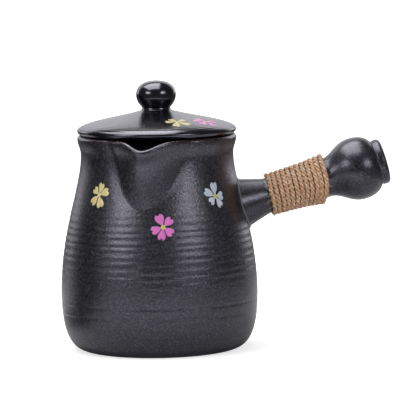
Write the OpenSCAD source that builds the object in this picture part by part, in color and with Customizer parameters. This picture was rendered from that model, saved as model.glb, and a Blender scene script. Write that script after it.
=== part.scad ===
// Stoneware side-handled teapot with a pinched lip, a loose knobbed lid and a twine-wrapped hollow handle.
// Millimetres. The origin is the middle of the foot, +Z is up and the handle points to +X.

/* [Pot] */
// Height of the pot from the foot to the top of the rim
body_h = 134.4; // [115:0.5:150]
// Width across the flat foot
foot_d = 92; // [76:1:100]
// Width across the belly, the widest part
belly_d = 122.8; // [110:1:136]
// Height of the belly above the foot
belly_h = 36; // [30:1:44]
// How far the heel runs out of the foot before it turns up
heel_run = 8.5; // [4:0.5:9]
// Height at which the heel has turned upright
heel_h = 8; // [7:0.5:14]
// Width across the waist under the rim
waist_d = 95.2; // [88:0.2:102]
// How far the waist lies under the rim
waist_drop = 12; // [8:1:18]
// Length of upright wall that the curve keeps over the belly
belly_ease = 40; // [25:1:48]
// Length of upright wall that the curve keeps under the waist
waist_ease = 20; // [10:1:28]
// Width across the rim
rim_d = 99.2; // [94:0.2:106]
// Thickness of the rounded rim
rim_t = 3.6; // [2.8:0.1:4.4]
// Thickness of the wall
wall = 4.5; // [3.4:0.1:6]
// Thickness of the base
base_t = 6; // [4:0.5:9]

/* [Spout] */
// Turn from the handle to the spout, clockwise seen from above
spout_turn = 104; // [85:1:120]
// How far the lip is pulled out past the rim
spout_reach = 11; // [6:0.5:15]
// How far the lip dips under the rim
spout_dip = 5; // [3:0.5:8]
// How far the pinch runs down the wall from the rim
spout_run = 42; // [28:1:46]
// Half width of the pinched beak at the rim
spout_w = 25; // [18:0.5:28]
// Roundness of the beak's ridge
ridge_round = 5; // [3:0.5:8]
// Half width of the dip in the rim
lip_w = 8; // [6:0.5:12]
// How much wider the beak is on its handle side than on average
spout_lean = 0.16; // [0:0.02:0.3]
// Depth of the finger dents on both sides of the beak
spout_dent = 0.8; // [0.4:0.1:2]
// Half width of a finger dent
dent_w = 5; // [4:0.5:8]

/* [Lid] */
// Width across the lid
lid_d = 99.2; // [92:0.2:104]
// Radius of the rounded lid edge
lid_edge_r = 3; // [1.8:0.1:3.4]
// Rise of the lid from its underside to the knob's seat
lid_rise = 14.1; // [12:0.5:20]
// Fullness of the lid's shoulder over its edge
lid_shoulder = 4.4; // [2:0.1:5]
// Thickness of the lid
lid_t = 4.6; // [3.6:0.1:6]
// Depth of the locating skirt under the lid
skirt_h = 8; // [5:0.5:12]
// Thickness of the skirt
skirt_t = 4; // [3:0.1:5]
// Side play of the skirt in the mouth
lid_play = 1; // [0.5:0.1:2]
// Gap between the lid and the rim
lid_gap = 0.3; // [0.2:0.05:0.6]

/* [Knob] */
// Width across the knob
knob_d = 24.8; // [20:0.2:30]
// Height of the knob over its seat on the lid
knob_h = 19.2; // [16:0.2:24]
// Height of the widest part of the knob over its seat
knob_mid_h = 10.4; // [9:0.2:13]
// Width across the knob's neck
knob_neck_d = 17.6; // [14:0.2:19.4]
// Height of the neck over the seat
knob_neck_h = 2.8; // [2:0.1:5]
// Width across the knob's foot and its seat on the lid
knob_seat_d = 24; // [20:0.2:30]

/* [Handle] */
// How far under the rim the handle's axis crosses the pot's axis
handle_drop = 58.7; // [50:0.2:62]
// Angle at which the handle rises, in degrees
handle_rise = 15.1; // [8:0.2:22]
// Length from the pot's axis to the mouth of the handle, along the handle
handle_reach = 148.2; // [140:1:165]
// Width of the collar round the handle's mouth
collar_d = 28.8; // [25:0.2:33]
// Length of the collar
collar_l = 5.6; // [5:0.2:9]
// Radius of the rounded collar edge
collar_edge_r = 2.4; // [1.2:0.1:2.5]
// Width of the groove behind the collar
groove_d = 27.6; // [24:0.2:28.8]
// Width across the handle's bulb
bulb_d = 39.4; // [34:0.2:44]
// Length from the widest part of the bulb to the groove
bulb_front = 12.2; // [8:0.1:14]
// Length from the grip to the widest part of the bulb
bulb_back = 19.4; // [15:0.5:24]
// Length of the grip that the twine covers
grip_l = 39; // [28:0.5:42]
// Width of the grip next to the bulb
grip_wide_d = 24.4; // [22:0.2:28]
// Width of the grip next to the pot
grip_slim_d = 21.6; // [19:0.2:25]
// Length of the flared root of the handle
root_l = 20; // [14:0.5:24]
// Width of the flared root where it meets the pot
root_d = 33.8; // [29:0.2:40]
// Thickness of the slip bead round the root
bead_t = 0.9; // [0.5:0.1:1.5]
// Width of the bore in the handle's mouth
bore_d = 20; // [16:0.2:22]
// Length of the straight bore
bore_l = 6; // [4.5:0.5:8]
// Thickness of the handle's wall
handle_wall = 4; // [3:0.1:5]

/* [Twine] */
// Turns of twine on the grip
twine_turns = 12; // [8:1:14]
// Thickness of the flattened twine
twine_t = 2.2; // [1.6:0.1:2.8]
// Gap between one turn and the next
twine_gap = 0.5; // [0.45:0.05:0.8]
// Gap between the twine and the grip
twine_lift = 0.15; // [0.05:0.05:0.3]

/* [Flowers] */
// Width across a flower on the pot
flower_d = 16.4; // [12:0.2:18]
// Width across a flower on the lid
lid_flower_d = 15.4; // [10:0.2:16]
// Width of a petal as a share of its length
petal_share = 0.84; // [0.6:0.02:0.9]
// Depth of the notch in a petal's tip
petal_notch = 1; // [0.3:0.1:1.4]
// Width of a flower's middle
middle_d = 3; // [2:0.1:3.4]
// Gap between a flower's middle and its petals
middle_gap = 0.3; // [0.2:0.05:0.6]
// Thickness of the enamel
enamel_t = 0.25; // [0.15:0.05:0.4]
// Hair gap between the enamel and the glaze
enamel_lift = 0.05; // [0.03:0.01:0.1]
// How far the yellow flower lies under the rim
yellow_drop = 33.7; // [26:0.1:40]
// How far the blue flower lies under the rim
blue_drop = 35.7; // [26:0.1:40]
// How far the pink flower lies under the rim
pink_drop = 52.3; // [48:0.1:62]
// How far the lid's yellow flower lies from the lid's middle
lid_yellow_out = 32.2; // [25:0.1:36]
// How far the lid's pink flower lies from the lid's middle
lid_pink_out = 35; // [25:0.1:36]

/* [Hidden] */

// Steps of the round curves
ring_steps = 84;
curve_steps = 8;
arc_steps = 5;
$fn = 96;

glaze = "#2b2b2f";
twine_colour = "#b98a5e";
yellow = "#d9cd84";
pink = "#d873c2";
blue = "#b4bdcf";
gold = "#c7c043";

belly_r = belly_d / 2;
foot_r = foot_d / 2;
waist_r = waist_d / 2;
rim_r = rim_d / 2;
rim_round = rim_t / 2;
waist_h = body_h - waist_drop;
mouth_r = waist_r - wall;
spout_foot = body_h - spout_run;
spout_side = -spout_turn;

lid_r = lid_d / 2;
lid_z = body_h + lid_gap;
seat_z = lid_z + lid_rise;
seat_r = knob_seat_d / 2;
skirt_r = mouth_r - spout_dent - lid_play;
skirt_in = skirt_r - skirt_t;

handle_z = body_h - handle_drop;
groove_s = handle_reach - collar_l;
bulb_s = groove_s - bulb_front;
grip_end_s = bulb_s - bulb_back;
grip_start_s = grip_end_s - grip_l;
neck_s = grip_start_s - twine_gap;
root_s = neck_s - root_l;
grip_wide_r = grip_wide_d / 2;
grip_slim_r = grip_slim_d / 2;
bulb_r = bulb_d / 2;
bore_r = bore_d / 2;
// The handle starts this deep in the pot, before the pot is cut out of it
root_depth = 14;

// A cubic curve from a to d, steered by b and c, without its first point
function curve(a, b, c, d, steps = curve_steps) =
    [for (i = [1 : steps]) let (t = i / steps, u = 1 - t)
        u * u * u * a + 3 * u * u * t * b + 3 * u * t * t * c + t * t * t * d];

// An arc about a centre, without its first point
function arc(centre, r, from, to, steps = arc_steps) =
    [for (i = [1 : steps]) let (a = from + (to - from) * i / steps) centre + r * [cos(a), sin(a)]];

// The pot's outline, as radius and height
function wall_line(foot, belly, waist, rim, low, top, steps) = concat(
    [[foot, low]],
    curve([foot, low], [foot + heel_run, low + heel_lift], [belly, low + heel_h], [belly, belly_h]),
    curve([belly, belly_h], [belly, belly_h + belly_ease], [waist, waist_h - waist_ease], [waist, waist_h], steps),
    curve([waist, waist_h], [waist, waist_h + waist_drop / 3], [rim, top - waist_drop / 3], [rim, top], arc_steps));
heel_lift = 1;
rim_low = body_h - rim_round;
outer_line = wall_line(foot_r, belly_r, waist_r, rim_r, 0, rim_low, 12);
inner_line = wall_line(foot_r - wall / 2, belly_r - wall, mouth_r, rim_r - rim_t, base_t, rim_low, curve_steps);
rim_arc = arc([rim_r - rim_round, rim_low], rim_round, 0, 180, 6);
function reversed(list) = [for (i = [len(list) - 1 : -1 : 0]) list[i]];
pot_line = concat(outer_line, rim_arc, [for (i = [1 : len(inner_line) - 1]) reversed(inner_line)[i]]);

// The pot's outer radius at a height
function pot_r(z) = lookup(z, [for (p = outer_line) [p[1], p[0]]]);

// Ring angles from the spout round, closest together at the spout
function ring_angle(i) = let (t = 2 * i / ring_steps - 1) 180 * (0.6 * t + 0.4 * t * t * t);

function bell(x, w) = exp(-x * x / (w * w));

// A ridge with straight flanks, 1 at its round top and easing into 0 at its half width
function beak(side, half) =
    let (v = 1 - (sqrt(side * side + ridge_round * ridge_round) - ridge_round)
                 / (sqrt(half * half + ridge_round * ridge_round) - ridge_round))
    (v + sqrt(v * v + ridge_ease * ridge_ease)) / (1 + sqrt(1 + ridge_ease * ridge_ease));
ridge_ease = 0.06;

// A point of the turned wall, pulled out, dented and dipped by the spout
function pinched(p, turn) =
    let (rise = min(1, max(0, p[1] - spout_foot) / (rim_low - spout_foot)),
         side = turn * PI / 180 * rim_r,
         lean = 1 + spout_lean * sign(turn),
         half = spout_w * lean * pow(max(rise, 0.01), 0.36),
         near = rise * bell(turn, spout_fade),
         pull = spout_reach * beak(side, half) - spout_dent * bell(abs(side) - half - dent_w / 2, dent_w),
         r = p[0] + near * pull,
         z = p[1] - near * rise * spout_dip * bell(side, lip_w * lean))
    [r * cos(turn + spout_side), r * sin(turn + spout_side), z];
// The spout has faded out of the wall this far round, in degrees
spout_fade = 60;

module pot_body() {
    rows = len(pot_line);
    points = [for (p = pot_line) for (i = [0 : ring_steps - 1]) pinched(p, ring_angle(i))];
    foot = [for (i = [0 : ring_steps - 1]) i];
    floor_in = [for (i = [ring_steps - 1 : -1 : 0]) (rows - 1) * ring_steps + i];
    sides = [for (j = [0 : rows - 2]) for (i = [0 : ring_steps - 1])
        let (n = (i + 1) % ring_steps, a = j * ring_steps, b = a + ring_steps)
        each [[a + i, b + i, b + n], [a + i, b + n, a + n]]];
    color(glaze) polyhedron(points, concat([foot, floor_in], sides));
}

// The pot's outline turned as a plain solid, grown outwards
module pot_core(grow = 0) {
    rotate_extrude()
        polygon(concat([[0, 0]], [for (p = outer_line) [p[0] + grow, p[1]]], [[0, rim_low]]));
}

// Things on the handle are drawn along +Z, with the pot's axis at 0
module along_handle() {
    translate([0, 0, handle_z]) rotate([0, 90 - handle_rise, 0]) children();
}

handle_line = concat(
    [[root_d / 2, root_s - root_depth], [root_d / 2, root_s]],
    curve([root_d / 2, root_s], [grip_slim_r + 4.2, root_s + root_l * 0.25],
          [grip_slim_r + 2, root_s + root_l * 0.62], [grip_slim_r, neck_s]),
    [[grip_wide_r, grip_end_s]],
    curve([grip_wide_r, grip_end_s], [grip_wide_r + 1.4, grip_end_s + bulb_back * 0.36],
          [bulb_r, bulb_s - bulb_back * 0.49], [bulb_r, bulb_s]),
    curve([bulb_r, bulb_s], [bulb_r, bulb_s + bulb_front * 0.55],
          [groove_d / 2 + 3, groove_s - 1.4], [groove_d / 2, groove_s]),
    [[collar_d / 2, groove_s + 1.2]],
    [[collar_d / 2, handle_reach - collar_edge_r]],
    arc([collar_d / 2 - collar_edge_r, handle_reach - collar_edge_r], collar_edge_r, 0, 90));

hollow_line = concat(
    [[bore_r, handle_reach], [bore_r, handle_reach - bore_l]],
    curve([bore_r, handle_reach - bore_l], [bulb_r - handle_wall, groove_s - 3],
          [bulb_r - handle_wall, bulb_s + 3], [bulb_r - handle_wall, bulb_s]),
    curve([bulb_r - handle_wall, bulb_s], [bulb_r - handle_wall, bulb_s - bulb_back * 0.49],
          [grip_wide_r - handle_wall, grip_end_s + 7], [grip_wide_r - handle_wall, grip_end_s]),
    [[grip_slim_r - handle_wall, neck_s], [grip_slim_r - handle_wall, root_s - root_depth]]);

module handle() {
    color(glaze) difference() {
        union() {
            along_handle() rotate_extrude() polygon(concat(handle_line, hollow_line));
            intersection() {
                pot_core(bead_t);
                along_handle() rotate_extrude() polygon([
                    [grip_slim_r, root_s - root_depth], [root_d / 2 + bead_t, root_s - root_depth],
                    [root_d / 2 + bead_t, neck_s], [grip_slim_r, neck_s]]);
            }
        }
        pot_core();
    }
}

function grip_r(s) = lookup(s, [[neck_s, grip_slim_r], [grip_end_s, grip_wide_r]]);
twine_pitch = grip_l / (twine_turns + 1);
twine_w = twine_pitch - twine_gap;
loop_rings = 24;
twine_rings = twine_turns * loop_rings;
// The twine starts and ends under the handle, at the back
twine_start = 30;

// One ring of six points round the twine, at a turn and place along the grip, moved on along the turn
function twine_ring(turn, s, on = 0) =
    let (r = grip_r(s) + twine_lift + grip_wide_r * (1 - cos(180 / loop_rings)),
         out = [cos(turn), sin(turn), 0],
         way = [-sin(turn), cos(turn), 0])
    [for (p = [[0, -1], [0.5, -0.5], [0.5, 0.5], [0, 1], [-0.5, 0.5], [-0.5, -0.5]])
        (r + (0.5 + p[0]) * twine_t) * out + on * way + [0, 0, s + p[1] * twine_w / 2]];

twine_first_s = grip_start_s + twine_pitch / 2;
function twine_turn(k) = twine_start - 360 * k / loop_rings;
function twine_s(k) = twine_first_s + twine_pitch * k / loop_rings;
twine_points = concat(
    [twine_ring(twine_turn(0), twine_s(0), twine_w)],
    [for (k = [0 : twine_rings]) twine_ring(twine_turn(k), twine_s(k))],
    [twine_ring(twine_turn(twine_rings), twine_s(twine_rings), -twine_w)]);

// The least distance between a ring and the rings that lie one turn further on
function twine_least_gap() = min([
    for (k = [1 : 4 : len(twine_points) - loop_rings - 3]) for (m = [-2 : 2])
        for (a = twine_points[k]) for (b = twine_points[k + loop_rings + m]) norm(a - b)]);

module twine_wrap() {
    sides = 6;
    rows = len(twine_points);
    points = [for (ring = twine_points) each ring];
    first = [for (i = [0 : sides - 1]) i];
    last = [for (i = [sides - 1 : -1 : 0]) (rows - 1) * sides + i];
    walls = [for (j = [0 : rows - 2]) for (i = [0 : sides - 1])
        let (n = (i + 1) % sides, a = j * sides, b = a + sides)
        each [[a + i, b + i, b + n], [a + i, b + n, a + n]]];
    echo("least gap of the twine to itself", twine_least_gap());
    color(twine_colour) along_handle() polyhedron(points, concat([first, last], walls));
}

// The lid's top, from the edge to the knob's seat, as radius and height
lid_mid_z = lid_z + lid_edge_r;
lid_top = concat(
    [[lid_r, lid_mid_z]],
    curve([lid_r, lid_mid_z], [lid_r - 0.8, lid_mid_z + lid_shoulder],
          [lid_r * 0.524, lid_mid_z + 0.65 * (seat_z - lid_mid_z)], [seat_r, seat_z], 12));
function lid_top_z(r) = lookup(r, [for (p = lid_top) [p[0], p[1]]]);

module lid() {
    under = curve([skirt_in, lid_z], [skirt_in, lid_z + lid_shoulder],
                  [seat_r, seat_z - lid_t], [0, seat_z - lid_t]);
    color(glaze) rotate_extrude() polygon(concat(
        [[0, seat_z]],
        reversed(lid_top),
        arc([lid_r - lid_edge_r, lid_mid_z], lid_edge_r, 0, -90),
        [[skirt_r, lid_z], [skirt_r, lid_z - skirt_h], [skirt_in, lid_z - skirt_h], [skirt_in, lid_z]],
        under));
}

module lid_knob() {
    knob_r = knob_d / 2;
    neck_r = knob_neck_d / 2;
    // Below its middle the knob is an ellipse that meets the neck
    low = knob_mid_h - knob_neck_h;
    low_turn = acos(neck_r / knob_r);
    low_b = low / sin(low_turn);
    ball_low = [for (i = [1 : curve_steps]) let (a = -low_turn * (1 - i / curve_steps))
        [knob_r * cos(a), knob_mid_h + low_b * sin(a)]];
    ball_top = [for (i = [1 : curve_steps]) let (a = 90 * i / curve_steps)
        [i == curve_steps ? 0 : knob_r * pow(cos(a), 0.89), knob_mid_h + (knob_h - knob_mid_h) * pow(sin(a), 0.89)]];
    color(glaze) translate([0, 0, seat_z]) rotate_extrude() polygon(concat(
        [[0, 0], [seat_r, 0]],
        curve([seat_r, 0], [neck_r + 1, 0.3], [neck_r, knob_neck_h * 0.4], [neck_r, knob_neck_h], arc_steps),
        ball_low, ball_top));
}

// A notched petal along +Y, from its root to its tip
module petal(root, tip) {
    l = tip - root;
    w = l * petal_share / 2;
    right = concat([[0.14 * w, root]],
        curve([0.14 * w, root], [1.1 * w, root + 0.3 * l], [1.5 * w, tip + 0.05 * l], [0.42 * w, tip]));
    polygon(concat(right, [[0, tip - petal_notch]], [for (p = reversed(right)) [-p[0], p[1]]]));
}

module petals(d) {
    for (i = [0 : 4]) rotate(72 * i) petal(middle_d / 2 + middle_gap, d / 2);
}

// A shape laid on the pot's wall at a side angle and a depth under the rim
module on_pot(side, drop, d) {
    z = body_h - drop;
    slope = atan2(pot_r(z + 1) - pot_r(z - 1), 2);
    low = z - d / 2 - 1;
    step = (d + 2) / curve_steps;
    line = [for (i = [0 : curve_steps]) [pot_r(low + i * step) + enamel_lift, low + i * step]];
    intersection() {
        rotate_extrude() polygon(concat(line, [for (p = reversed(line)) [p[0] + enamel_t, p[1]]]));
        rotate(side) translate([pot_r(z), 0, z]) rotate([0, 90 - slope, 0]) rotate(90)
            linear_extrude(height = d / 2, center = true) children();
    }
}

// A shape laid on the lid at a side angle and a distance from its middle
module on_lid(side, out, d) {
    low = out - d / 2 - 1;
    step = (d + 2) / curve_steps;
    line = [for (i = [0 : curve_steps]) [low + i * step, lid_top_z(low + i * step) + enamel_lift]];
    intersection() {
        rotate_extrude() polygon(concat(line, [for (p = reversed(line)) [p[0], p[1] + enamel_t]]));
        rotate(side) translate([out, 0, lid_z]) linear_extrude(height = lid_rise + 2) children();
    }
}

// Side angles of the flowers round the pot's axis, and the turn of each flower on its spot
yellow_side = -139.5;
blue_side = -51;
pink_side = -91.4;
lid_yellow_side = -71.3;
lid_pink_side = -38;
yellow_turn = 62;
blue_turn = 62;
pink_turn = 26;
lid_yellow_turn = 35;
lid_pink_turn = -2;

module flower_yellow() {
    color(yellow) on_pot(yellow_side, yellow_drop, flower_d) rotate(yellow_turn) {
        petals(flower_d);
        circle(d = middle_d);
    }
}
module flower_blue() {
    color(blue) on_pot(blue_side, blue_drop, flower_d) rotate(blue_turn) petals(flower_d);
}
module flower_blue_middle() {
    color(gold) on_pot(blue_side, blue_drop, middle_d) circle(d = middle_d);
}
module flower_pink() {
    color(pink) on_pot(pink_side, pink_drop, flower_d) rotate(pink_turn) petals(flower_d);
}
module flower_pink_middle() {
    color(gold) on_pot(pink_side, pink_drop, middle_d) circle(d = middle_d);
}
module lid_flower_yellow() {
    color(yellow) on_lid(lid_yellow_side, lid_yellow_out, lid_flower_d) rotate(lid_yellow_turn) {
        petals(lid_flower_d);
        circle(d = middle_d);
    }
}
module lid_flower_pink() {
    color(pink) on_lid(lid_pink_side, lid_pink_out, lid_flower_d) rotate(lid_pink_turn) petals(lid_flower_d);
}
module lid_flower_pink_middle() {
    color(gold) on_lid(lid_pink_side, lid_pink_out, middle_d) circle(d = middle_d);
}

pot_body();
handle();
twine_wrap();
lid();
lid_knob();
flower_yellow();
flower_blue();
flower_pink();
flower_blue_middle();
flower_pink_middle();
lid_flower_yellow();
lid_flower_pink();
lid_flower_pink_middle();
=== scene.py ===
import bisect
import math
import random

import bmesh
import bpy
from mathutils import Matrix, Vector


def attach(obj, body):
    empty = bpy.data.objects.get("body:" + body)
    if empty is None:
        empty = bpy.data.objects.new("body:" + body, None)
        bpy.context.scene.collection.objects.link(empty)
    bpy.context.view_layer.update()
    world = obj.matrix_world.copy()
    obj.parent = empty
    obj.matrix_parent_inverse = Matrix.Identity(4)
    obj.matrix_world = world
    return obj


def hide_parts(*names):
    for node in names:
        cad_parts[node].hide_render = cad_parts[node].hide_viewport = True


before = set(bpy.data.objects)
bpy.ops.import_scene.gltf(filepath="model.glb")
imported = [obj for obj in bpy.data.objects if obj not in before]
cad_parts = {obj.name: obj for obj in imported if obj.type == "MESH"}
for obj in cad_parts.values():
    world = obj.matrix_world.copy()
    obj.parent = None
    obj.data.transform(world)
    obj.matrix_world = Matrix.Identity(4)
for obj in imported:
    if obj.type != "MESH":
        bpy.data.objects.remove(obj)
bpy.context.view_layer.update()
mm = 0.001


# camera, fitted to the outline in the photograph
view = dict(azimuth=-5.0, elevation=6.0, roll=-1.0, distance=2.4, aim=(0.0262, -0.0022, 0.0926),
            pixelsPerMetre=1600.0, frameWidth=400.0, sensor=36.0, clipEnd=50.0)


def placeCamera():
    a, e, r = (math.radians(view[k]) for k in ("azimuth", "elevation", "roll"))
    back = Vector((math.sin(a) * math.cos(e), -math.cos(a) * math.cos(e), math.sin(e)))
    right = Vector((math.cos(a), math.sin(a), 0))
    up = back.cross(right)
    right, up = right * math.cos(r) + up * math.sin(r), up * math.cos(r) - right * math.sin(r)
    data = bpy.data.cameras.new("photoCamera")
    data.sensor_width = view["sensor"]
    data.lens = view["sensor"] * view["pixelsPerMetre"] * view["distance"] / view["frameWidth"]
    data.clip_end = view["clipEnd"]
    cam = bpy.data.objects.new("photoCamera", data)
    turn = Matrix((right, up, back)).transposed().to_4x4()
    cam.matrix_world = Matrix.Translation(Vector(view["aim"]) + back * view["distance"]) @ turn
    bpy.context.scene.collection.objects.link(cam)
    bpy.context.scene.camera = cam


placeCamera()
print("camera placed")


# lines in millimetres, as (radius, height) pairs
def bend(a, b, c, d, steps=24):
    line = []
    for i in range(1, steps + 1):
        t = i / steps
        u = 1 - t
        line.append(tuple(u ** 3 * p + 3 * u * u * t * q + 3 * u * t * t * r + t ** 3 * s
                          for p, q, r, s in zip(a, b, c, d)))
    return line


def corner(centre, radius, start, end, steps=10):
    line = []
    for i in range(1, steps + 1):
        a = math.radians(start + (end - start) * i / steps)
        line.append((centre[0] + radius * math.cos(a), centre[1] + radius * math.sin(a)))
    return line


def evenly(line, gap):
    # the same line with a steady gap between its points
    lengths = [0.0]
    for p, q in zip(line, line[1:]):
        lengths.append(lengths[-1] + math.dist(p, q))
    count = max(1, round(lengths[-1] / gap))
    out = []
    for i in range(count + 1):
        want = lengths[-1] * i / count
        k = min(max(bisect.bisect_left(lengths, want), 1), len(line) - 1)
        f = (want - lengths[k - 1]) / max(lengths[k] - lengths[k - 1], 1e-9)
        out.append(tuple(p + (q - p) * f for p, q in zip(line[k - 1], line[k])))
    return out


def between(x, table):
    # straight-line reading of a sorted table of (x, y)
    k = min(max(bisect.bisect_left(table, (x,)), 1), len(table) - 1)
    (x0, y0), (x1, y1) = table[k - 1], table[k]
    return y0 + (y1 - y0) * min(max((x - x0) / (x1 - x0), 0), 1)


def halving(low, high, inside):
    # the place between low and high where inside stops being true
    for _ in range(40):
        mid = (low + high) / 2
        if inside(mid):
            low = mid
        else:
            high = mid
    return high


def ease(low, high, x):
    t = min(max((x - low) / (high - low), 0), 1)
    return t * t * (3 - 2 * t)


def bell(x, half):
    return math.exp(-(x / half) ** 2)


def turned(line, steps, closed=False):
    # a line spun about Z, in metres
    bm = bmesh.new()
    verts = [bm.verts.new((r * mm, 0, z * mm)) for r, z in line]
    edges = [bm.edges.new(pair) for pair in zip(verts, verts[1:])]
    if closed:
        edges.append(bm.edges.new((verts[-1], verts[0])))
    bmesh.ops.spin(bm, geom=verts + edges, cent=(0, 0, 0), axis=(0, 0, 1), dvec=(0, 0, 0),
                   angle=math.tau, steps=steps, use_merge=True)
    bmesh.ops.remove_doubles(bm, verts=bm.verts, dist=1e-6)
    bmesh.ops.recalc_face_normals(bm, faces=bm.faces)
    return bm


def makePiece(name, bm, finish, body, slot, *nodes):
    for face in bm.faces:
        face.smooth = True
    mesh = bpy.data.meshes.new(name)
    bm.to_mesh(mesh)
    bm.free()
    mesh.materials.append(finish)
    piece = bpy.data.objects.new(name, mesh)
    bpy.context.scene.collection.objects.link(piece)
    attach(piece, body)
    if nodes:
        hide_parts(*nodes)
    print(name, "has", len(mesh.polygons), "faces")


# shader maths: a wrapped socket, so that nodes are written as expressions
class Wire:
    def __init__(self, tree, socket):
        self.tree, self.socket = tree, socket

    def beside(self, out):
        # another output of the same node
        return Wire(self.tree, self.socket.node.outputs[out])

    def math(self, operation, *values):
        return addNode(self.tree, "ShaderNodeMath", dict(operation=operation), dict(enumerate(values)))

    def __add__(self, other):
        return self.math("ADD", self, other)

    def __radd__(self, other):
        return self.math("ADD", other, self)

    def __sub__(self, other):
        return self.math("SUBTRACT", self, other)

    def __rsub__(self, other):
        return self.math("SUBTRACT", other, self)

    def __mul__(self, other):
        return self.math("MULTIPLY", self, other)

    def __rmul__(self, other):
        return self.math("MULTIPLY", other, self)

    def __pow__(self, other):
        return self.math("POWER", self, other)


def addNode(tree, kind, settings=None, sockets=None, out=0):
    node = tree.nodes.new(kind)
    for key, value in (settings or {}).items():
        if key == "stops":
            while len(node.color_ramp.elements) < len(value):
                node.color_ramp.elements.new(0.5)
            for stop, (place, colour) in zip(node.color_ramp.elements, value):
                stop.position, stop.color = place, (*colour, 1)
        else:
            setattr(node, key, value)
    for key, value in (sockets or {}).items():
        if isinstance(value, Wire):
            tree.links.new(value.socket, node.inputs[key])
        else:
            node.inputs[key].default_value = value
    return Wire(tree, node.outputs[out])


def ramp(value, low, high, start=0.0, end=1.0):
    ends = {"Value": value, "From Min": low, "From Max": high, "To Min": start, "To Max": end}
    return addNode(value.tree, "ShaderNodeMapRange", dict(interpolation_type="SMOOTHSTEP"), ends)


def axes(vector):
    split = addNode(vector.tree, "ShaderNodeSeparateXYZ", None, {0: vector})
    return [split.beside(k) for k in range(3)]


class Finish:
    def __init__(self, name, **sockets):
        self.material = bpy.data.materials.new(name)
        self.material.use_nodes = True
        self.tree = self.material.node_tree
        self.shader = self.tree.nodes["Principled BSDF"]
        for key, value in sockets.items():
            self.shader.inputs[key.replace("_", " ")].default_value = value
        self.place = self.node("ShaderNodeTexCoord", out="Object")

    def node(self, kind, settings=None, sockets=None, out=0):
        return addNode(self.tree, kind, settings, sockets, out)

    def noise(self, scale, detail=2.0, rough=0.5, vector=None):
        return self.node("ShaderNodeTexNoise", None, {"Vector": vector or self.place, "Scale": scale,
                                                      "Detail": detail, "Roughness": rough})

    def blend(self, share, first, second):
        return self.node("ShaderNodeMix", dict(data_type="RGBA"), {0: share, 6: first, 7: second}, out=2)

    def bump(self, height, distance):
        sockets = {"Height": height, "Distance": distance, "Strength": 1.0}
        self.feed(Normal=self.node("ShaderNodeBump", None, sockets))

    def feed(self, **wires):
        for key, wire in wires.items():
            self.tree.links.new(wire.socket, self.shader.inputs[key.replace("_", " ")])


# finishes, with places in metres
glazeLook = dict(black=(0.003, 0.003, 0.0042), slate=(0.006, 0.006, 0.0082), fleck=(0.048, 0.048, 0.059),
                 brown=(0.040, 0.020, 0.012), foot=(0.012, 0.0115, 0.0125), clay=(0.085, 0.062, 0.047),
                 tint=(0.86, 0.84, 1.0, 1), cloudScale=38.0, fleckFrom=0.44, fleckTo=0.72,
                 rimLow=0.1312, rimTop=0.1335, rimShare=0.35, rimPolish=0.08,
                 # streak: the place of a painted brown reflection beside the handle
                 streakX=0.042, streakY=-0.027, streakFrom=0.003, streakTo=0.012,
                 streakLow=0.078, streakHigh=0.090, reflectionShare=0.30,
                 footLow=0.003, footTop=0.006, footShare=0.8, footMatt=0.4, footWander=0.004,
                 clayTop=0.0006)


def darkGlaze(f, cloud):
    # nearly black, clouded with slate
    return f.blend(ramp(cloud, 0.3, 0.7), (*glazeLook["black"], 1), (*glazeLook["slate"], 1))


def satinGlaze(name, rough, roughSpread, grain, grainDepth, bareFoot, bending=1.6):
    g = glazeLook
    f = Finish(name, IOR=bending, Specular_Tint=g["tint"])
    cloud = f.noise(g["cloudScale"], 3.0)
    fine = f.noise(grain, 3.0, 0.6)
    fleck = ramp(f.noise(grain * 1.2, 2.0, 0.55), g["fleckFrom"], g["fleckTo"])
    x, y, z = axes(f.place)
    base = f.blend(fleck, darkGlaze(f, cloud), (*g["fleck"], 1))
    gloss = rough + (fine - 0.5) * roughSpread
    if bareFoot:
        rim = ramp(z, g["rimLow"], g["rimTop"])
        base = f.blend(rim * g["rimShare"], base, (*g["brown"], 1))
        # a painted brown reflection lies in a streak beside the handle
        dx, dy = x - g["streakX"], y - g["streakY"]
        brownReflection = ramp((dx * dx + dy * dy) ** 0.5, g["streakFrom"], g["streakTo"], 1.0, 0.0)
        brownReflection = brownReflection * ramp(z, g["streakLow"], g["streakHigh"])
        base = f.blend(brownReflection * g["reflectionShare"], base, (*g["brown"], 1))
        foot = ramp(z + (cloud - 0.5) * g["footWander"], g["footLow"], g["footTop"], 1.0, 0.0)
        base = f.blend(foot * g["footShare"], base, (*g["foot"], 1))
        base = f.blend(ramp(z, 0.0, g["clayTop"], 1.0, 0.0), base, (*g["clay"], 1))
        gloss = gloss + foot * g["footMatt"] - rim * g["rimPolish"]
    f.feed(Base_Color=base, Roughness=gloss)
    f.bump(fine, grainDepth)
    return f.material


shinyLook = dict(grain=1700.0, cloudScale=45.0, wander=3.0, wanderScale=60.0, grainShine=0.10,
                 cloudShine=0.05)


def shinyGlaze(name, rough, ringPitch, ringDepth, grainDepth):
    # the depths are in millimetres
    f = Finish(name, IOR=1.6, Specular_Tint=glazeLook["tint"])
    x, y, _ = axes(f.place)
    out = (x * x + y * y) ** 0.5
    wave = out * (math.tau / ringPitch) + f.noise(shinyLook["wanderScale"], 2.0) * shinyLook["wander"]
    rings = wave.math("SINE", wave)
    fine = f.noise(shinyLook["grain"], 3.0, 0.6)
    cloud = f.noise(shinyLook["cloudScale"], 2.0)
    gloss = rough + (fine - 0.5) * shinyLook["grainShine"] + (cloud - 0.5) * shinyLook["cloudShine"]
    f.feed(Base_Color=darkGlaze(f, cloud), Roughness=gloss)
    f.bump(rings * ringDepth + fine * grainDepth, mm)
    return f.material


enamelLook = dict(brush=420.0, wash=130.0, shadeFrom=0.35, shadeTo=0.66, pale=0.25, edgeShare=0.5,
                  rough=0.38, roughSpread=0.2, depth=0.00012)


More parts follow.
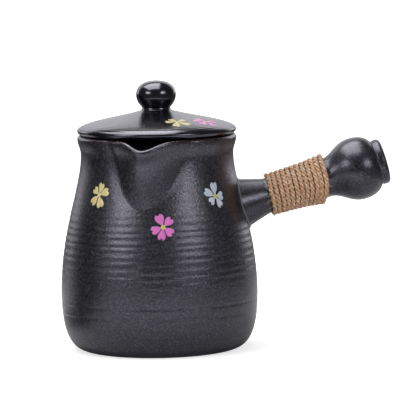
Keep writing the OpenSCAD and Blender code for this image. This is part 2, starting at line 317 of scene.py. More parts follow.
def enamel(name, colour, shade):
    # the attribute "edge" is 1 along a patch's border, where a painted highlight makes the enamel paler
    e = enamelLook
    f = Finish(name, IOR=1.5, Specular_IOR_Level=0.45)
    edge = f.node("ShaderNodeAttribute", dict(attribute_name="edge"), out="Fac")
    brush = f.noise(e["brush"], 3.0, 0.6)
    wash = f.noise(e["wash"], 2.0)
    base = f.blend(ramp(brush * 0.5 + wash * 0.5, e["shadeFrom"], e["shadeTo"]), (*colour, 1), (*shade, 1))
    pale = [c + (max(colour) - c) * e["pale"] for c in colour]
    base = f.blend(edge * e["edgeShare"], base, (*pale, 1))
    f.feed(Base_Color=base, Roughness=e["rough"] + (brush - 0.5) * e["roughSpread"])
    f.bump(brush, e["depth"])
    return f.material


juteLook = dict(fibreScale=(9.0, 420.0, 1.0), patchScale=620.0, fibreShare=0.55, patchShare=0.45,
                meetFrom=0.14, meetTo=0.30, meetTone=(0.21, 0.075, 0.026), deepTone=(0.10, 0.036, 0.012),
                deepShare=0.56, sheenTint=(1.0, 0.86, 0.68, 1), rough=0.72, roughSpread=0.25, depth=0.0005)
juteTones = ((0.34, (0.24, 0.088, 0.032)), (0.45, (0.50, 0.265, 0.135)), (0.55, (0.72, 0.485, 0.325)),
             (0.66, (0.92, 0.79, 0.69)))
strayTones = ((0.3, (0.55, 0.42, 0.25)), (0.7, (0.85, 0.74, 0.52)))


def juteFinish(name, stops, shadow):
    # streaks of fibre along each ply, read from the ply's own UV map: u goes round it and v along it
    j = juteLook
    f = Finish(name, IOR=1.45, Specular_IOR_Level=0.2, Sheen_Weight=0.2, Sheen_Roughness=0.5,
               Sheen_Tint=j["sheenTint"])
    ply = f.node("ShaderNodeUVMap", dict(uv_map="ply"))
    streaks = f.node("ShaderNodeMapping", None, {"Vector": ply, "Scale": j["fibreScale"]})
    fibre = f.noise(1.0, 4.0, 0.7, streaks)
    patch = f.noise(j["patchScale"], 3.0, 0.6)
    mixed = fibre * j["fibreShare"] + patch * j["patchShare"]
    tone = f.node("ShaderNodeValToRGB", dict(stops=stops), {0: mixed})
    # painted shade darkens the plies where they meet, at u = 0.5
    u = axes(ply)[0] - 0.5
    meet = ramp(u.math("ABSOLUTE", u), j["meetFrom"], j["meetTo"], shadow, 0.0)
    tone = f.blend(meet, tone, (*j["meetTone"], 1))
    # painted shade: the attribute "deep" is 1 in the hollows between turns and plies, which it darkens
    deep = f.node("ShaderNodeAttribute", dict(attribute_name="deep"), out="Fac")
    tone = f.blend(deep * j["deepShare"], tone, (*j["deepTone"], 1))
    f.feed(Base_Color=tone, Roughness=j["rough"] + (fibre - 0.5) * j["roughSpread"])
    f.bump(fibre + patch, j["depth"])
    return f.material


bodyGlaze = satinGlaze("satin black glaze", rough=0.31, roughSpread=0.24, grain=760.0, grainDepth=0.00020,
                       bareFoot=True)
handleGlaze = satinGlaze("smooth black glaze", rough=0.30, roughSpread=0.16, grain=820.0,
                         grainDepth=0.00008, bareFoot=False, bending=1.52)
# the slip bead's glaze is paler grey than the rest: a painted highlight along the bead
beadHighlightGlaze = Finish("bead glaze with painted highlight", IOR=1.6, Roughness=0.32, Base_Color=(0.078, 0.077, 0.092, 1)).material
lidGlaze = shinyGlaze("shiny lid glaze", rough=0.16, ringPitch=0.0021, ringDepth=0.032, grainDepth=0.04)
knobGlaze = shinyGlaze("shiny knob glaze", rough=0.19, ringPitch=0.0031, ringDepth=0.0, grainDepth=0.006)
yellowEnamel = enamel("yellow enamel", (0.63, 0.54, 0.25), (0.56, 0.475, 0.205))
pinkEnamel = enamel("pink enamel", (0.65, 0.17, 0.495), (0.58, 0.137, 0.44))
palePinkEnamel = enamel("pale pink enamel", (0.68, 0.255, 0.545), (0.61, 0.21, 0.485))
blueEnamel = enamel("blue enamel", (0.485, 0.535, 0.625), (0.415, 0.465, 0.55))
goldEnamel = enamel("gold enamel", (0.52, 0.53, 0.10), (0.44, 0.43, 0.06))
jute = juteFinish("jute", juteTones, shadow=0.8)
strayJute = juteFinish("stray jute", strayTones, shadow=0.0)
print("finishes ready")


# pot
pot = dict(height=134.4, footR=46.0, bellyR=61.4, bellyH=36.0, heelRun=8.5, heelLift=1.0, heelH=8.0,
           waistR=47.6, waistDrop=12.0, bellyEase=40.0, waistEase=20.0, rimR=49.6, rimT=3.6, wall=4.5,
           baseT=6.0, turns=288, footGap=3.0, outerGap=0.62, innerGap=2.4, baseGap=4.0, marksFrom=0.2,
           nearWall=0.05)
# narrow: how the spout tapers downwards at its left and at its right
spout = dict(side=-104.0, reach=11.0, dip=5.0, run=42.0, half=25.0, ridge=5.0, lipHalf=8.0, lean=0.16,
             dent=0.8, dentHalf=5.0, ease=0.06, fade=60.0, upright=0.90, fill=0.92, narrow=(0.36, 0.48),
             least=0.01)
# waves: the reach, frequency and start of the rings' wandering
marks = dict(pitch=4.3, depth=0.21, low=41.0, full=51.0, fadeLow=80.0, fadeHigh=92.0, faint=0.6,
             endLow=98.0, endHigh=108.0, waves=((0.14, 0.17, 0.0), (0.06, 0.71, 1.0)),
             fine=1.45, fineDepth=0.035, fineWave=0.6, fineOften=0.4, worn=0.26, wornRise=0.09,
             wornTurn=0.31, lowLines=(24.7, 31.5), lineDepth=0.22, lineHalf=0.8, lineSway=0.5,
             clearHalf=30.0, clearLow=84.0, clearHigh=95.0)


def wallLine(foot, belly, waist, rim, low, top):
    waistH = pot["height"] - pot["waistDrop"]
    third = pot["waistDrop"] / 3
    line = [(foot, low)]
    line += bend(line[-1], (foot + pot["heelRun"], low + pot["heelLift"]), (belly, low + pot["heelH"]),
                 (belly, pot["bellyH"]))
    line += bend(line[-1], (belly, pot["bellyH"] + pot["bellyEase"]), (waist, waistH - pot["waistEase"]),
                 (waist, waistH), 36)
    line += bend(line[-1], (waist, waistH + third), (rim, top - third), (rim, top))
    return line


rimLow = pot["height"] - pot["rimT"] / 2
outerLine = wallLine(pot["footR"], pot["bellyR"], pot["waistR"], pot["rimR"], 0.0, rimLow)
innerLine = wallLine(pot["footR"] - pot["wall"] / 2, pot["bellyR"] - pot["wall"],
                     pot["waistR"] - pot["wall"], pot["rimR"] - pot["rimT"], pot["baseT"], rimLow)
outerTable = sorted((z, r) for r, z in outerLine)


def potR(z):
    return between(z, outerTable)


def fromSpout(azimuth):
    return (azimuth - spout["side"] + 180) % 360 - 180


def throwMarks(z, azimuth):
    # the spiral left by the potter's fingers, cut into the wall
    turn = math.radians(azimuth)
    zone = ease(marks["low"], marks["full"], z) * (1 - ease(marks["endLow"], marks["endHigh"], z))
    zone *= 1 - (1 - marks["faint"]) * ease(marks["fadeLow"], marks["fadeHigh"], z)
    clear = bell(fromSpout(azimuth), marks["clearHalf"])
    zone *= 1 - clear * ease(marks["clearLow"], marks["clearHigh"], z)
    drift = sum(far * math.sin(z * often + start) for far, often, start in marks["waves"])
    groove = 0.5 - 0.5 * math.cos(math.tau * (z / marks["pitch"] + drift) - turn)
    drift = marks["fineWave"] * math.sin(z * marks["fineOften"])
    thin = 0.5 - 0.5 * math.cos(math.tau * (z / marks["fine"] + drift) - turn)
    patchy = math.sin(2 * turn + z * marks["wornRise"]) * math.sin(z * marks["wornTurn"] + turn)
    worn = 1 - marks["worn"] * (1 - patchy)
    cut = (marks["depth"] * groove + marks["fineDepth"] * thin) * zone * worn
    for line in marks["lowLines"]:
        cut += marks["lineDepth"] * bell(z - line + marks["lineSway"] * math.sin(turn), marks["lineHalf"])
    return cut


def beak(side, half):
    ridge, soft = spout["ridge"], spout["ease"]
    v = 1 - (math.hypot(side, ridge) - ridge) / (math.hypot(half, ridge) - ridge)
    return (v + math.sqrt(v * v + soft * soft)) / (1 + math.sqrt(1 + soft * soft))


def pinched(r, z, azimuth):
    # a point of the turned wall, pulled out and dipped by the spout
    foot = pot["height"] - spout["run"]
    turn = fromSpout(azimuth)
    rise = min(max((z - foot) / (rimLow - foot), 0), 1)
    if rise > 0:
        side = math.radians(turn) * pot["rimR"]
        lean = 1 + spout["lean"] * (turn > 0) - spout["lean"] * (turn < 0)
        half = spout["half"] * lean * max(rise, spout["least"]) ** spout["narrow"][turn > 0]
        fade = bell(turn, spout["fade"])
        # the lip stands upright at its very top
        rest = 1 - spout["upright"]
        over = max(0, rise - spout["upright"]) / rest
        pull = ((rise - over * over * rest / 2) / (1 - rest / 2)) ** spout["fill"]
        dent = spout["dent"] * bell(abs(side) - half - spout["dentHalf"] / 2, spout["dentHalf"])
        r += fade * (pull * spout["reach"] * beak(side, half) - rise * dent)
        z -= fade * rise * rise * spout["dip"] * bell(side, spout["lipHalf"] * lean)
    a = math.radians(azimuth)
    return Vector((r * math.cos(a), r * math.sin(a), z))


def wallPoint(z, azimuth):
    return pinched(potR(z) - throwMarks(z, azimuth), z, azimuth)


def buildPot():
    half = pot["rimT"] / 2
    arc = [outerLine[-1]] + corner((pot["rimR"] - half, rimLow), half, 0, 180, 14)
    line = evenly([(0.0, 0.0), (pot["footR"], 0.0)], pot["footGap"])
    line += evenly(outerLine, pot["outerGap"])[1:] + arc[1:]
    line += evenly(innerLine[::-1], pot["innerGap"])[1:]
    line += evenly([innerLine[0], (0.0, pot["baseT"])], pot["baseGap"])[1:]
    bm = turned(line, pot["turns"])
    for v in bm.verts:
        r, z = math.hypot(v.co.x, v.co.y) / mm, v.co.z / mm
        azimuth = math.degrees(math.atan2(v.co.y, v.co.x))
        if pot["marksFrom"] < z < rimLow and abs(r - potR(z)) < pot["nearWall"]:
            r -= throwMarks(z, azimuth)
        v.co = pinched(r, z, azimuth) * mm
    makePiece("pot_wall", bm, bodyGlaze, "pot", "black_glaze", "pot_body")


buildPot()


# lid and knob
lid = dict(radius=49.6, edgeR=3.0, rise=14.1, shoulder=4.4, shoulderIn=0.8, browR=0.524, browRise=0.65,
           wall=4.6, skirtH=8.0, skirtT=4.0, skirtEdge=1.2, play=1.0, gap=0.3, seatR=12.0, turns=256,
           seatGap=3.0, outerGap=0.6, innerGap=1.5)
lid["low"] = pot["height"] + lid["gap"]
lid["seat"] = lid["low"] + lid["rise"]
lid["mid"] = lid["low"] + lid["edgeR"]
lid["skirtR"] = pot["waistR"] - pot["wall"] - spout["dent"] - lid["play"]
lidTop = [(lid["radius"], lid["mid"])]
lidTop += bend(lidTop[0], (lid["radius"] - lid["shoulderIn"], lid["mid"] + lid["shoulder"]),
               (lid["radius"] * lid["browR"], lid["mid"] + lid["browRise"] * (lid["seat"] - lid["mid"])),
               (lid["seatR"], lid["seat"]), 40)
lidTable = sorted(lidTop)


def lidPoint(r, azimuth):
    a = math.radians(azimuth)
    return Vector((r * math.cos(a), r * math.sin(a), between(r, lidTable)))


def buildLid():
    low, outer, edgeR = lid["low"], lid["skirtR"], lid["skirtEdge"]
    inner = outer - lid["skirtT"]
    ceiling = lid["seat"] - lid["wall"]
    bottom = low - lid["skirtH"]
    edge = [lidTop[0]] + corner((lid["radius"] - lid["edgeR"], lid["mid"]), lid["edgeR"], 0, -90, 12)
    skirt = [(outer, low), (outer, bottom + edgeR)]
    skirt += corner((outer - edgeR, bottom + edgeR), edgeR, 0, -90, 5) + [(inner + edgeR, bottom)]
    skirt += corner((inner + edgeR, bottom + edgeR), edgeR, -90, -180, 5) + [(inner, low)]
    under = [(inner, low)]
    under += bend(under[0], (inner, low + lid["shoulder"]), (lid["seatR"], ceiling), (0.0, ceiling))
    line = evenly([(0.0, lid["seat"]), (lid["seatR"], lid["seat"])], lid["seatGap"])
    line += evenly(lidTop[::-1], lid["outerGap"])[1:] + edge[1:]
    line += evenly([edge[-1], skirt[0]], lid["innerGap"])[1:] + skirt[1:]
    line += evenly(under, lid["innerGap"])[1:]
    bm = turned(line, lid["turns"])
    makePiece("lid_shell", bm, lidGlaze, "lid", "black_glaze", "lid")


knob = dict(radius=12.4, height=19.2, mid=10.4, neckR=8.8, neckH=2.8, footOut=1.0, footUp=0.3,
            neckEase=0.4, full=0.89, turns=128, gap=0.35)


def buildKnob():
    wide, neck = knob["radius"], knob["neckR"]
    turn = math.acos(neck / wide)
    lowB = (knob["mid"] - knob["neckH"]) / math.sin(turn)
    topB = knob["height"] - knob["mid"]
    line = [(lid["seatR"], 0.0)]
    line += bend(line[0], (neck + knob["footOut"], knob["footUp"]),
                 (neck, knob["neckH"] * knob["neckEase"]), (neck, knob["neckH"]), 16)
    for i in range(1, 21):
        a = turn * (i / 20 - 1)
        line.append((wide * math.cos(a), knob["mid"] + lowB * math.sin(a)))
    for i in range(1, 41):
        a = math.pi / 2 * i / 40
        r = wide * max(math.cos(a), 0) ** knob["full"]
        line.append((r, knob["mid"] + topB * math.sin(a) ** knob["full"]))
    line[-1] = (0.0, knob["height"])
    full = [(0.0, 0.0)] + evenly(line, knob["gap"])
    bm = turned([(r, z + lid["seat"]) for r, z in full], knob["turns"])
    makePiece("lid_ball_knob", bm, knobGlaze, "lid", "black_glaze", "lid_knob")


buildLid()
buildKnob()


# handle, drawn along its own axis from the pot's axis
grip = dict(drop=58.7, rise=15.1, reach=148.2, collarR=14.4, collarL=5.6, collarEdge=2.4, grooveR=13.8,
            bulbR=19.7, bulbFront=12.2, bulbBack=19.4, length=39.0, wideR=12.2, slimR=10.8, rootL=20.0,
            rootR=16.9, boreR=10.0, boreL=6.0, boreEdge=0.5, wall=4.0, neckGap=0.5, sunk=1.1, tail=6.0,
            slide=60.0, weld=0.02, rootEase=((4.2, 0.25), (2.0, 0.62)), bulbOut=1.4, bulbStart=0.36,
            bulbEase=0.49, frontEase=0.55, grooveOut=3.0, grooveEase=1.4, grooveDip=0.3, grooveRun=0.5,
            collarHollow=((-0.2, 0.5), (-0.1, 1.6), (-0.25, 2.6)), lipIn=0.1, lipEase=0.8,
            hollowEase=3.0, hollowRun=7.0, turns=144, gap=0.6, innerGap=1.6, tailGap=2.0)
grip["groove"] = grip["reach"] - grip["collarL"]
grip["bulb"] = grip["groove"] - grip["bulbFront"]
grip["end"] = grip["bulb"] - grip["bulbBack"]
grip["start"] = grip["end"] - grip["length"]
grip["neck"] = grip["start"] - grip["neckGap"]
grip["root"] = grip["neck"] - grip["rootL"]
grip["first"] = grip["root"] - grip["tail"]
handleTurn = (Matrix.Translation((0, 0, (pot["height"] - grip["drop"]) * mm))
              @ Matrix.Rotation(math.radians(90 - grip["rise"]), 4, "Y"))
handleWay = handleTurn.to_3x3() @ Vector((0, 0, 1))
rootLine = [(grip["rootR"], grip["first"]), (grip["rootR"], grip["root"])]
rootCurve = [(grip["slimR"] + out, grip["root"] + grip["rootL"] * far) for out, far in grip["rootEase"]]
rootLine += bend(rootLine[-1], *rootCurve, (grip["slimR"], grip["neck"]))
rootTable = sorted((s, r) for r, s in rootLine)


def inPot(p, sunk=0.0):
    return math.hypot(p.x, p.y) / mm < potR(p.z / mm) - sunk


def ontoPot(p):
    # slides a point out along the handle until it lies just under the pot's wall
    far = halving(0.0, grip["slide"] * mm, lambda far: inPot(p + handleWay * far, grip["sunk"]))
    return p + handleWay * far


def rootPoint(s, a):
    r = between(s, rootTable)
    return handleTurn @ (Vector((r * math.cos(a), r * math.sin(a), s)) * mm)


def rootEdge(a):
    # where the handle comes out of the pot's wall, at an angle round the handle
    return rootPoint(halving(grip["first"], grip["neck"], lambda s: inPot(rootPoint(s, a))), a)


def buildHandle():
    g = grip
    slim, wide, bulb, groove, reach = g["slimR"], g["wideR"], g["bulbR"], g["groove"], g["reach"]
    swell = g["bulb"] - g["bulbBack"] * g["bulbEase"]
    outer = rootLine + [(wide, g["end"])]
    outer += bend(outer[-1], (wide + g["bulbOut"], g["end"] + g["bulbBack"] * g["bulbStart"]),
                  (bulb, swell), (bulb, g["bulb"]))
    outer += bend(outer[-1], (bulb, g["bulb"] + g["bulbFront"] * g["frontEase"]),
                  (g["grooveR"] + g["grooveOut"], groove - g["grooveEase"]), (g["grooveR"], groove))
    # the collar is a little hollow between its two edges
    lip = reach - g["collarEdge"]
    start, edge, middle = ((g["collarR"] + out, groove + far) for out, far in g["collarHollow"])
    outer += bend(outer[-1], (g["grooveR"] - g["grooveDip"], groove + g["grooveRun"]), start, edge, 8)
    outer += bend(outer[-1], middle, (g["collarR"] - g["lipIn"], lip - g["lipEase"]), (g["collarR"], lip), 8)
    outer += corner((g["collarR"] - g["collarEdge"], lip), g["collarEdge"], 0, 90, 10)
    mouth = g["boreR"] + g["boreEdge"]
    inner = [(mouth, reach)] + corner((mouth, reach - g["boreEdge"]), g["boreEdge"], 90, 180, 4)
    inner += [(g["boreR"], reach - g["boreL"])]
    hollow, narrow, end = bulb - g["wall"], wide - g["wall"], slim - g["wall"]
    inner += bend(inner[-1], (hollow, groove - g["hollowEase"]), (hollow, g["bulb"] + g["hollowEase"]),
                  (hollow, g["bulb"]))
    inner += bend(inner[-1], (hollow, swell), (narrow, g["end"] + g["hollowRun"]), (narrow, g["end"]))
    inner += [(end, g["neck"]), (end, g["first"])]
    line = evenly(outer, g["gap"]) + evenly(inner, g["innerGap"])
    line += evenly([inner[-1], outer[0]], g["tailGap"])[1:-1]
    bm = turned(line, g["turns"], closed=True)
    bmesh.ops.transform(bm, matrix=handleTurn, verts=bm.verts)
    for v in bm.verts:
        if inPot(v.co, g["sunk"]):
            v.co = ontoPot(v.co)
    bmesh.ops.remove_doubles(bm, verts=bm.verts, dist=g["weld"] * mm)
    makePiece("side_handle", bm, handleGlaze, "pot", "black_glaze", "handle")


buildHandle()


def drawTube(bm, rings, closed=False):
    # a tube through rings of points: a grid rolled up, with its ends joined or capped
    count, last = len(rings[0]), len(rings) - 1
    made = bmesh.ops.create_grid(bm, x_segments=count, y_segments=last, size=1.0, calc_uvs=True)["verts"]
    for v in made:
        v.co = rings[round((v.co.y + 1) / 2 * last)][round((v.co.x + 1) / 2 * count) % count]
    edges = {e for v in made for e in v.link_edges}
    bmesh.ops.remove_doubles(bm, verts=made, dist=1e-7)
    if not closed:
        bmesh.ops.holes_fill(bm, edges=[e for e in edges if e.is_valid and e.is_boundary], sides=count)


# slip bead round the handle's root
bead = dict(radius=0.80, lift=0.1, points=160, sides=12)


def buildBead():
    rings = []
    spine = [rootEdge(math.tau * i / bead["points"]) for i in range(bead["points"])]
    middle = sum(spine, Vector()) / len(spine)
    angles = [math.tau * k / bead["sides"] for k in range(bead["sides"])]
    for i, p in enumerate(spine):
        way = (spine[(i + 1) % len(spine)] - spine[i - 1]).normalized()
        up = way.cross((p - middle).normalized()).normalized()
        out = up.cross(way)
        p = p + (out + handleWay).normalized() * bead["lift"] * mm
        rings.append([p + (out * math.cos(b) + up * math.sin(b)) * bead["radius"] * mm for b in angles])
    bm = bmesh.new()
    drawTube(bm, rings + [rings[0]], closed=True)
    bmesh.ops.recalc_face_normals(bm, faces=bm.faces)
    makePiece("root_bead", bm, beadHighlightGlaze, "pot", "black_glaze")


buildBead()


# jute twine, three twisted plies
twine = dict(turns=12, pitch=3.17, first=0.55, lift=0.10, start=30.0, plies=3, lay=9.4, plyR=0.83,
             offset=0.78, flat=0.74, sides=8, perTurn=156, hand=-1, seed=7, wander=0.20, wanderEvery=20,
             loose=0.16, swell=0.12, swellOften=0.9, swellSlow=0.17, swellPly=2.1, flare=0.9,
             flareFrom=0.6, draw=5.5, drawEase=1.7, deepFrom=0.48, deepTo=0.82)
twine["half"] = (twine["offset"] + twine["plyR"]) * twine["flat"]
twine["total"] = twine["turns"] * twine["perTurn"]


def wrapR(s):
    # radius of the grip under the twine
    f = (s - grip["neck"]) / (grip["end"] - grip["neck"])
    flare = twine["flare"] * ease(twine["flareFrom"], 1, f)
    return grip["slimR"] + (grip["wideR"] - grip["slimR"]) * f + flare


def twinePath(k):
    # grip radius, outward direction and place along the grip after k samples
    turn = math.radians(twine["start"] - 360 * k / twine["perTurn"])
    s = grip["start"] + twine["first"] + twine["pitch"] * k / twine["perTurn"]
    bare = wrapR(s)
    # the turns lie closer together under the handle
    far = (s - grip["start"]) / grip["length"]
    s -= twine["draw"] * far * max(0, math.cos(turn)) ** twine["drawEase"]
    return bare, Vector((math.cos(turn), math.sin(turn), 0)), s


def plySize(k, ply):
    fast = math.sin(k * twine["swellOften"] + ply * twine["swellPly"])
    return twine["plyR"] * (1 + twine["swell"] * fast * math.sin(k * twine["swellSlow"] + ply))


def buildTwine():
    rng = random.Random(twine["seed"])
    bm = bmesh.new()
    bm.loops.layers.uv.new("ply")
    half, flat, offset, total = twine["half"], twine["flat"], twine["offset"], twine["total"]
    step = math.tau * (twinePath(total / 2)[0] + half) / twine["perTurn"]
    wander = [rng.uniform(-1, 1) for _ in range(total // twine["wanderEvery"] + 3)]
    for ply in range(twine["plies"]):
        rings = []
        for k in range(total + 1):
            bare, out, s = twinePath(k)
            j = k / twine["wanderEvery"]
            drift = wander[int(j)] + (wander[int(j) + 1] - wander[int(j)]) * (j % 1)
            lay = k * step / twine["lay"] + twine["loose"] * drift
            spin = math.tau * (twine["hand"] * lay + ply / twine["plies"])
            centre = (out * (bare + twine["lift"] + half + flat * offset * math.cos(spin))
                      + Vector((0, 0, s + twine["wander"] * drift + offset * math.sin(spin))))
            size = plySize(k, ply)
            ring = []
            for i in range(twine["sides"]):
                b = math.tau * i / twine["sides"] + spin
                p = centre + out * (size * flat * math.cos(b)) + Vector((0, 0, size * math.sin(b)))
                ring.append(handleTurn @ (p * mm))
            rings.append(ring)
        drawTube(bm, rings)
    bmesh.ops.recalc_face_normals(bm, faces=bm.faces)
    # "deep" carries painted shade: how far down in the hollows between turns and plies each point lies
    deep = bm.verts.layers.float.new("deep")
    back = handleTurn.inverted()
    for v in bm.verts:
        p = back @ v.co / mm
        rise = (math.hypot(p.x, p.y) - wrapR(p.z) - twine["lift"]) / (2 * half)
        v[deep] = 1 - ease(twine["deepFrom"], twine["deepTo"], rise)
    makePiece("jute_wrap", bm, jute, "pot", "jute_twine", "twine_wrap")


fuzz = dict(count=300, endShare=0.5, length=(2.0, 6.0), endLength=1.25, midLength=0.7, radius=0.085,
            thick=1.1, taper=0.7, depth=1.7, stand=(0.25, 0.8), slant=(0.3, 1.2), curl=0.35, seed=11,
            parts=4)


def buildFuzz():
    # stray fibres that stand off the twine, about half of them at the ends of the wrap
    rng = random.Random(fuzz["seed"])
    bm = bmesh.new()
    bm.loops.layers.uv.new("ply")
    turns, total, parts = twine["turns"], twine["total"], fuzz["parts"]
    for _ in range(fuzz["count"]):
        if rng.random() < fuzz["endShare"]:
            k = rng.choice([rng.uniform(0, 1), rng.uniform(turns - 1, turns)]) * twine["perTurn"]
            lean = -1 if k < total / 2 else 1
        else:
            k, lean = rng.uniform(0, total), rng.uniform(-1, 1)
        bare, out, s = twinePath(k)
        side = Vector((-out.y, out.x, 0))
        p = out * (bare + fuzz["depth"] * twine["half"]) + Vector((0, 0, s))
        way = out * rng.uniform(*fuzz["stand"]) + side * rng.uniform(-1, 1)
        way = (way + Vector((0, 0, lean * rng.uniform(*fuzz["slant"])))).normalized()
        curl = Vector([rng.uniform(-1, 1) for _ in range(3)]) * fuzz["curl"]
        length = rng.uniform(*fuzz["length"]) * fuzz["endLength" if abs(lean) == 1 else "midLength"]
        rings = []
        for i in range(parts + 1):
            across = way.orthogonal().normalized()
            thin = fuzz["radius"] * (fuzz["thick"] - fuzz["taper"] * i / parts)
            rings.append([handleTurn @ ((p + (Matrix.Rotation(b, 3, way) @ across) * thin) * mm)
                          for b in (0, math.tau / 3, 2 * math.tau / 3)])
            p = p + way * (length / parts)
            way = (way + curl / parts).normalized()
        drawTube(bm, rings)
    bmesh.ops.recalc_face_normals(bm, faces=bm.faces)
    makePiece("jute_fibres", bm, strayJute, "pot", "jute_twine")


buildTwine()
buildFuzz()


# painted flowers
paint = dict(root=1.3, middleR=1.5, middleGrid=8, height=0.16, sink=0.12, edgeDip=0.03, across=10,
             along=14, notch=0.95, notchSpread=0.2, probe=0.2, lidSlope=0.965, seed=5)
petalShape = dict(widest=0.7, stem=0.16, swell=1.1, tip=0.38, notchHalf=0.55, notchEase=1.6,
                  notchFrom=0.55, cheek=0.35, cheekFrom=0.6)


def onPot(azimuth, height):
    # a spot on the pot's wall: sideways and upwards distances give a point and its outward direction
    slope = math.atan2(potR(height - 1) - potR(height + 1), 2)
    step = paint["probe"]

    def place(u, v):
        z = height + v * math.cos(slope)
        a = azimuth + math.degrees(u / potR(z))
        p = wallPoint(z, a)
        out = (wallPoint(z, a + step) - p).cross(wallPoint(z + step, a) - p).normalized()
        return p, out
    return place


def onLid(azimuth, far):
    # the same for a spot on the lid
    step = paint["probe"]

    def place(u, v):
        r = far - v * paint["lidSlope"]
        a = azimuth + math.degrees(u / r)
        p = lidPoint(r, a)
        out = (p - lidPoint(r + step, a)).cross(lidPoint(r, a + step) - p).normalized()
        return p, out if out.z > 0 else -out
    return place


def petalSpot(s, t, root, tip, wide, notch):
    # s runs across the petal from -1 to 1 and t along it from 0 to 1
    q = petalShape
    if t < q["widest"]:
        half = wide * (q["stem"] + (1 - q["stem"]) * math.sin(math.pi / 2 * t / q["widest"]) ** q["swell"])
    else:
        half = wide * math.sqrt(1 - ((t - q["widest"]) / q["tip"]) ** 2)
    inner = max(0, 1 - (abs(s) / q["notchHalf"]) ** q["notchEase"])
    outer = max(0, (abs(s) - q["notchHalf"]) / (1 - q["notchHalf"])) ** 2
    cut = notch * (inner * ease(q["notchFrom"], 1, t) + q["cheek"] * outer * ease(q["cheekFrom"], 1, t))
    return s * half, root + (tip - root) * t - cut


def paintShape(bm, place, shape, across, along):
    # a thin raised patch whose edge dips into the glaze
    border = bm.verts.layers.float.get("edge") or bm.verts.layers.float.new("edge")
    made = bmesh.ops.create_grid(bm, x_segments=across, y_segments=along, size=1.0)
    faces = list({f for v in made["verts"] for f in v.link_faces})
    for v in made["verts"]:
        s, t = v.co.x, (v.co.y + 1) / 2
        u, w = shape(s, t)
        p, out = place(u, w)
        onEdge = abs(s) > 0.999 or t < 0.001 or t > 0.999
        # the border carries the enamel's painted highlight
        v[border] = float(onEdge)
        v.co = (p + out * (-paint["edgeDip"] if onEdge else paint["height"])) * mm
        v.normal = out
    back = [g for g in bmesh.ops.duplicate(bm, geom=faces)["geom"] if isinstance(g, bmesh.types.BMFace)]
    rims = {e for f in faces + back for e in f.edges if len(e.link_faces) == 1}
    for v in {v for f in back for v in f.verts}:
        v.co -= Vector(v.normal) * (paint["height"] + paint["sink"]) * mm
    bmesh.ops.bridge_loops(bm, edges=list(rims))


def dot(s, t):
    b = 2 * t - 1
    r = paint["middleR"]
    return r * s * math.sqrt(1 - b * b / 2), r * b * math.sqrt(1 - s * s / 2)


def paintFlower(name, look, body, node):
    place, grid = look["place"], paint["middleGrid"]
    rng = random.Random(paint["seed"])
    bm = bmesh.new()
    for angle, tip, wide in look["petals"]:
        turn = math.radians(angle - 90)
        notch = paint["notch"] * rng.uniform(1 - paint["notchSpread"], 1 + paint["notchSpread"])

        def petal(s, t):
            x, y = petalSpot(s, t, paint["root"], tip, wide / 2, notch)
            return x * math.cos(turn) - y * math.sin(turn), x * math.sin(turn) + y * math.cos(turn)

        paintShape(bm, place, petal, paint["across"], paint["along"])
    if not look["gold"]:
        paintShape(bm, place, dot, grid, grid)
    bmesh.ops.recalc_face_normals(bm, faces=bm.faces)
    makePiece(name, bm, look["finish"], body, look["slot"], node)
    if look["gold"]:
        bm = bmesh.new()
        paintShape(bm, place, dot, grid, grid)
        bmesh.ops.recalc_face_normals(bm, faces=bm.faces)
        makePiece(name + "_middle", bm, goldEnamel, body, "gold_enamel", node + "_middle")


# each petal: its direction anticlockwise from sideways, the reach of its tip and its width
yellowFlower = dict(place=onPot(-139.5, 100.7), finish=yellowEnamel, slot="yellow_enamel", gold=False,
                    petals=((78, 7.7, 4.9), (21, 8.1, 5.4), (144, 6.4, 5.2), (226, 8.4, 5.1),
                            (289, 8.4, 5.9)))
blueFlower = dict(place=onPot(-51, 98.7), finish=blueEnamel, slot="blue_enamel", gold=True,
                  petals=((89, 8.9, 5.7), (0, 7.0, 5.7), (-60, 8.0, 4.9), (218, 6.6, 5.2),
                          (153, 9.0, 5.2)))
pinkFlower = dict(place=onPot(-91.4, 82.1), finish=pinkEnamel, slot="pink_enamel", gold=True,
                  petals=((112, 8.4, 5.9), (44, 7.6, 5.4), (-38, 7.6, 5.6), (-100, 8.3, 5.0),
                          (200, 7.9, 5.4)))
lidYellowFlower = dict(place=onLid(-71.3, 32.2), finish=yellowEnamel, slot="yellow_enamel", gold=False,
                       petals=((106, 7.2, 4.2), (168, 7.3, 4.2), (246, 9.6, 5.0), (312, 9.8, 4.9),
                               (26, 7.8, 4.6)))
lidPinkFlower = dict(place=onLid(-38, 36.2), finish=palePinkEnamel, slot="pink_enamel", gold=True,
                     petals=((80, 8.0, 5.0), (142, 8.0, 5.0), (205, 9.2, 5.0), (268, 9.0, 5.0),
                             (338, 8.4, 5.2)))
paintFlower("yellow_flower", yellowFlower, "pot", "flower_yellow")
paintFlower("blue_flower", blueFlower, "pot", "flower_blue")
paintFlower("pink_flower", pinkFlower, "pot", "flower_pink")
paintFlower("lid_yellow_flower", lidYellowFlower, "lid", "lid_flower_yellow")
paintFlower("lid_pink_flower", lidPinkFlower, "lid", "lid_flower_pink")
print("flowers painted")


# lamps and room
lamps = [  # name, place, aim, width, height, radiance on the colours, radiance in the shine
    ("top softbox", (-0.31, 0.11, 1.30), (-0.31, 0.11, 0.0), 1.16, 1.40, 2.3, 7.2),
    ("left softbox", (-1.126, -0.833, 0.66), (0.0, 0.0, 0.08), 0.62, 0.42, 8.8, 10.2),
    ("right softbox", (0.864, -1.106, 0.66), (0.0, 0.0, 0.08), 0.58, 0.42, 9.2, 9.6),
]
shineAhead = 0.02
room = dict(surround=0.22, mirrored=0.10, hue=(0.98, 0.98, 1.03, 1), backFrom=0.54, backTo=0.68,
            backLow=0.75, backHigh=1.6, riseFrom=0.12, riseTo=0.52, cutFrom=0.53, cutTo=0.63,
            flank=1.7, flankFrom=0.45, flankTo=0.60)


